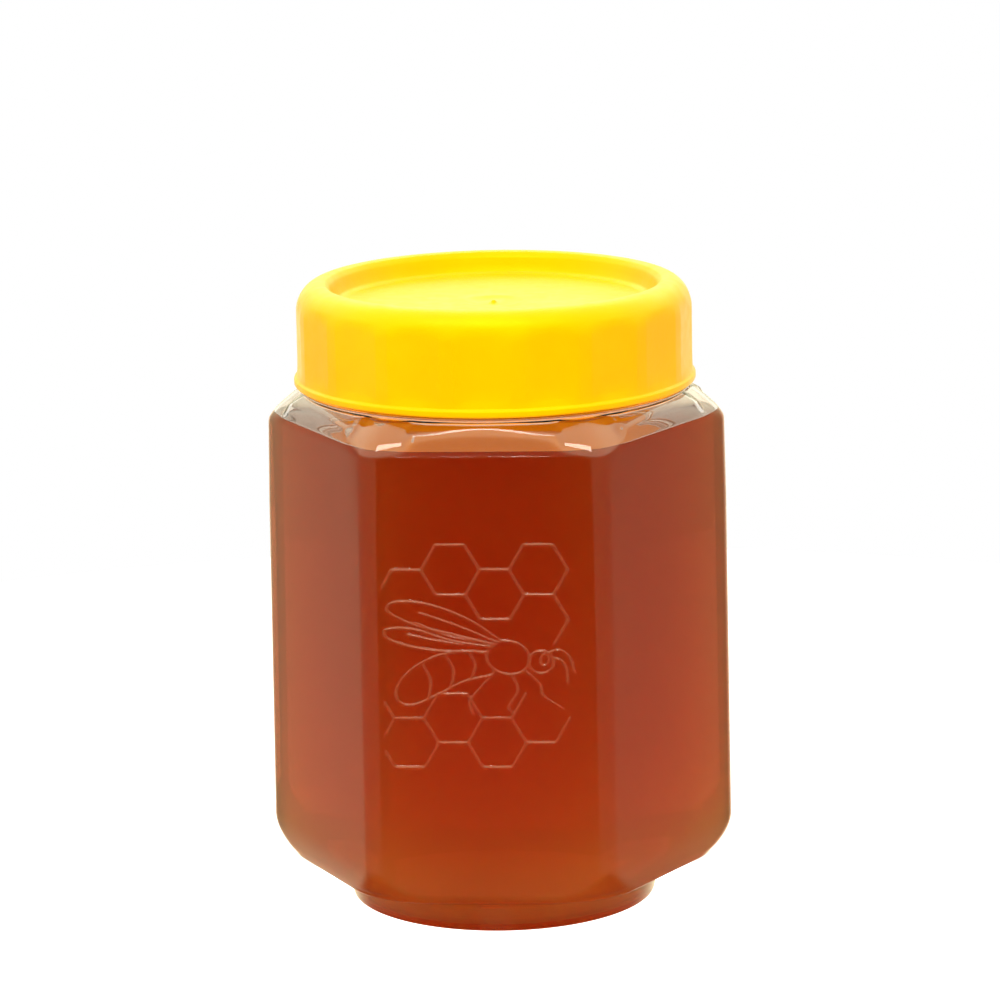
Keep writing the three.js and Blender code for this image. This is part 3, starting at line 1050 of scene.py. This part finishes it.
pale = blend(nodes, link, slow, (0.44, 0.44, 0.44), (0.47, 0.47, 0.47))
link(pale, shader.inputs["Base Color"])
table_look.cycles.emission_sampling = "NONE"
table.data.materials.append(table_look)
table.visible_glossy = False
print("the table gives off", TABLE_GLOW, "and", RING_GLOW, "more in the ring")

# %% [markdown]
# The room is white to the eye and to the light. In the plastic's mirror it differs: the cloth lies
# behind and above the jar, and the side of the camera is dark. That dark gives the clear shoulder
# and the panels' edges their contrast, and only mirror rays see it. White cloth with a hole for
# the camera would do the same in a real studio.

# %% Surrounding light
world = bpy.data.worlds.new("studio")
bpy.context.scene.world = world
world.use_nodes = True
world.cycles.sampling_method = "NONE"
nodes = world.node_tree.nodes
link = world.node_tree.links.new
nodes.clear()
out = nodes.new("ShaderNodeOutputWorld")
white = nodes.new("ShaderNodeBackground")
white.inputs["Color"].default_value = (1, 1, 1, 1)
white.inputs["Strength"].default_value = 1.0
mirror = nodes.new("ShaderNodeBackground")
direction = nodes.new("ShaderNodeTexCoord")
split = nodes.new("ShaderNodeSeparateXYZ")
link(direction.outputs["Generated"], split.inputs["Vector"])


def level(value, start, stop, low, high):
    """A soft step along one direction of the room."""
    ranger = nodes.new("ShaderNodeMapRange")
    ranger.interpolation_type = "SMOOTHSTEP"
    ranger.inputs["From Min"].default_value = start
    ranger.inputs["From Max"].default_value = stop
    ranger.inputs["To Min"].default_value = low
    ranger.inputs["To Max"].default_value = high
    link(value, ranger.inputs["Value"])
    return ranger.outputs["Result"]


def combine(operation, first, second):
    """Two values into one, by a sum or a product."""
    node = nodes.new("ShaderNodeMath")
    node.operation = operation
    link(first, node.inputs[0])
    link(second, node.inputs[1])
    return node.outputs["Value"]


# %% The camera's side and the cloth in the mirror
OPENING_X = 0.06
aside = nodes.new("ShaderNodeMath")
aside.operation = "ADD"
aside.inputs[1].default_value = OPENING_X
link(split.outputs["X"], aside.inputs[0])
width = nodes.new("ShaderNodeMath")
width.operation = "ABSOLUTE"
link(aside.outputs["Value"], width.inputs[0])
across, along, height = width.outputs["Value"], split.outputs["Y"], split.outputs["Z"]
opening = combine("MULTIPLY", level(across, 0.10, 0.24, 1, 0), level(along, -0.6, -0.3, 1, 0))
opening = combine("MULTIPLY", opening, level(height, 0.1, 0.35, 1, 0))
behind = level(along, 0.45, 1.0, 0.5, 1.7)
above = level(height, 0.2, 0.5, 0.0, 2.3)
cloth = combine("ADD", behind, above)
cloth = combine("MULTIPLY", cloth, level(height, -0.7, -0.4, 0.1, 1.0))
print("the mirror sees cloth behind and above, and an opening towards the camera")

# %% Mirror rays apart from all others
shade = nodes.new("ShaderNodeMix")
link(opening, shade.inputs["Factor"])
link(cloth, shade.inputs["A"])
low_part = level(height, -0.30, -0.21, 0.22, 0.03)
high_part = level(height, -0.05, 0.15, 0, 0.35)
link(combine("ADD", low_part, high_part), shade.inputs["B"])
link(shade.outputs["Result"], mirror.inputs["Strength"])
mirror.inputs["Color"].default_value = (1.0, 0.93, 0.62, 1)
rays = nodes.new("ShaderNodeLightPath")
mix = nodes.new("ShaderNodeMixShader")
mirrored = nodes.new("ShaderNodeMath")
mirrored.operation = "MULTIPLY"
link(rays.outputs["Is Glossy Ray"], mirrored.inputs[0])
link(rays.outputs["Is Reflection Ray"], mirrored.inputs[1])
link(mirrored.outputs["Value"], mix.inputs["Fac"])
link(white.outputs["Background"], mix.inputs[1])
link(mirror.outputs["Background"], mix.inputs[2])
link(mix.outputs["Shader"], out.inputs["Surface"])
print("nodes in the world:", len(nodes))

# %% [markdown]
# Three soft lights: a large one above that only lights, a long strip above and in front whose
# mirror image is the bright band on the shoulder, and a small weak one in front for the spots of
# light on the edges. They can't be seen by the camera or through the honey.


# %% Soft lights
def soft_light(name, place, aim, wide, high, power, mirrored=True):
    """A rectangular light at a place, turned to what it aims at."""
    lamp = bpy.data.lights.new(name, "AREA")
    lamp.shape = "RECTANGLE"
    lamp.size = wide
    lamp.size_y = high
    lamp.energy = power
    lamp.color = (1.0, 0.95, 0.8)
    piece = bpy.data.objects.new(name, lamp)
    piece.location = place
    piece.rotation_euler = (Vector(aim) - Vector(place)).to_track_quat("-Z", "Y").to_euler()
    piece.visible_camera = False
    piece.visible_transmission = False
    piece.visible_glossy = mirrored
    piece.visible_volume_scatter = False
    bpy.context.scene.collection.objects.link(piece)
    return piece


soft_light("light_above", (-0.06, -0.24, 0.87), (0, 0, 0.1), 0.44, 0.30, 2.4, mirrored=False)
soft_light("light_strip", (-0.05, -0.36, 0.80), (0, -0.045, 0.112), 0.66, 0.22, 5.6)
soft_light("light_front", (-0.07, -1.15, 0.13), (0, 0, 0.1), 0.16, 0.03, 0.35)
print("lights:", [light.name for light in bpy.data.lights])

# %% [markdown]
# The camera stands where the photo was taken from: a little to the right of the front panel,
# twelve degrees up, about a metre away with a long lens, and turned by one degree.

# %% Camera
AZIMUTH, ELEVATION, ROLL = math.radians(3.6), math.radians(12.5), -0.0184
DISTANCE, FOCAL_PIXELS = 1.0576, 4738.4
LOOK_AT = Vector((0, 0, 0.0899))
LOOK_ASIDE = 0.00062
SENSOR, IMAGE = 36, 1000
back = Vector((math.sin(AZIMUTH) * math.cos(ELEVATION),
               -math.cos(AZIMUTH) * math.cos(ELEVATION), math.sin(ELEVATION)))
right = Vector((math.cos(AZIMUTH), math.sin(AZIMUTH), 0))
up = back.cross(right).normalized()
target = LOOK_AT + right * LOOK_ASIDE
side = right * math.cos(ROLL) + up * math.sin(ROLL)
head = -right * math.sin(ROLL) + up * math.cos(ROLL)
camera_data = bpy.data.cameras.new("camera")
camera_data.sensor_width = SENSOR
camera_data.lens = FOCAL_PIXELS / IMAGE * SENSOR
camera_data.clip_start = 0.05
camera = bpy.data.objects.new("camera", camera_data)
turn = Matrix((side, head, back)).transposed().to_4x4()
camera.matrix_world = Matrix.Translation(target + back * DISTANCE) @ turn
bpy.context.scene.collection.objects.link(camera)
bpy.context.scene.camera = camera
print("lens", round(camera_data.lens, 1), "mm")

# %% [markdown]
# Light in the honey bounces many times before it comes out. With too few bounces the honey turns
# dark, so the number is raised. The plain view transform keeps white paper white.

# %% View and bounces
bpy.context.scene.view_settings.view_transform = "Standard"
bpy.context.scene.cycles.max_bounces = 16
bpy.context.scene.cycles.transmission_bounces = 16
bpy.context.scene.cycles.volume_bounces = 5
print("bounces:", bpy.context.scene.cycles.max_bounces)
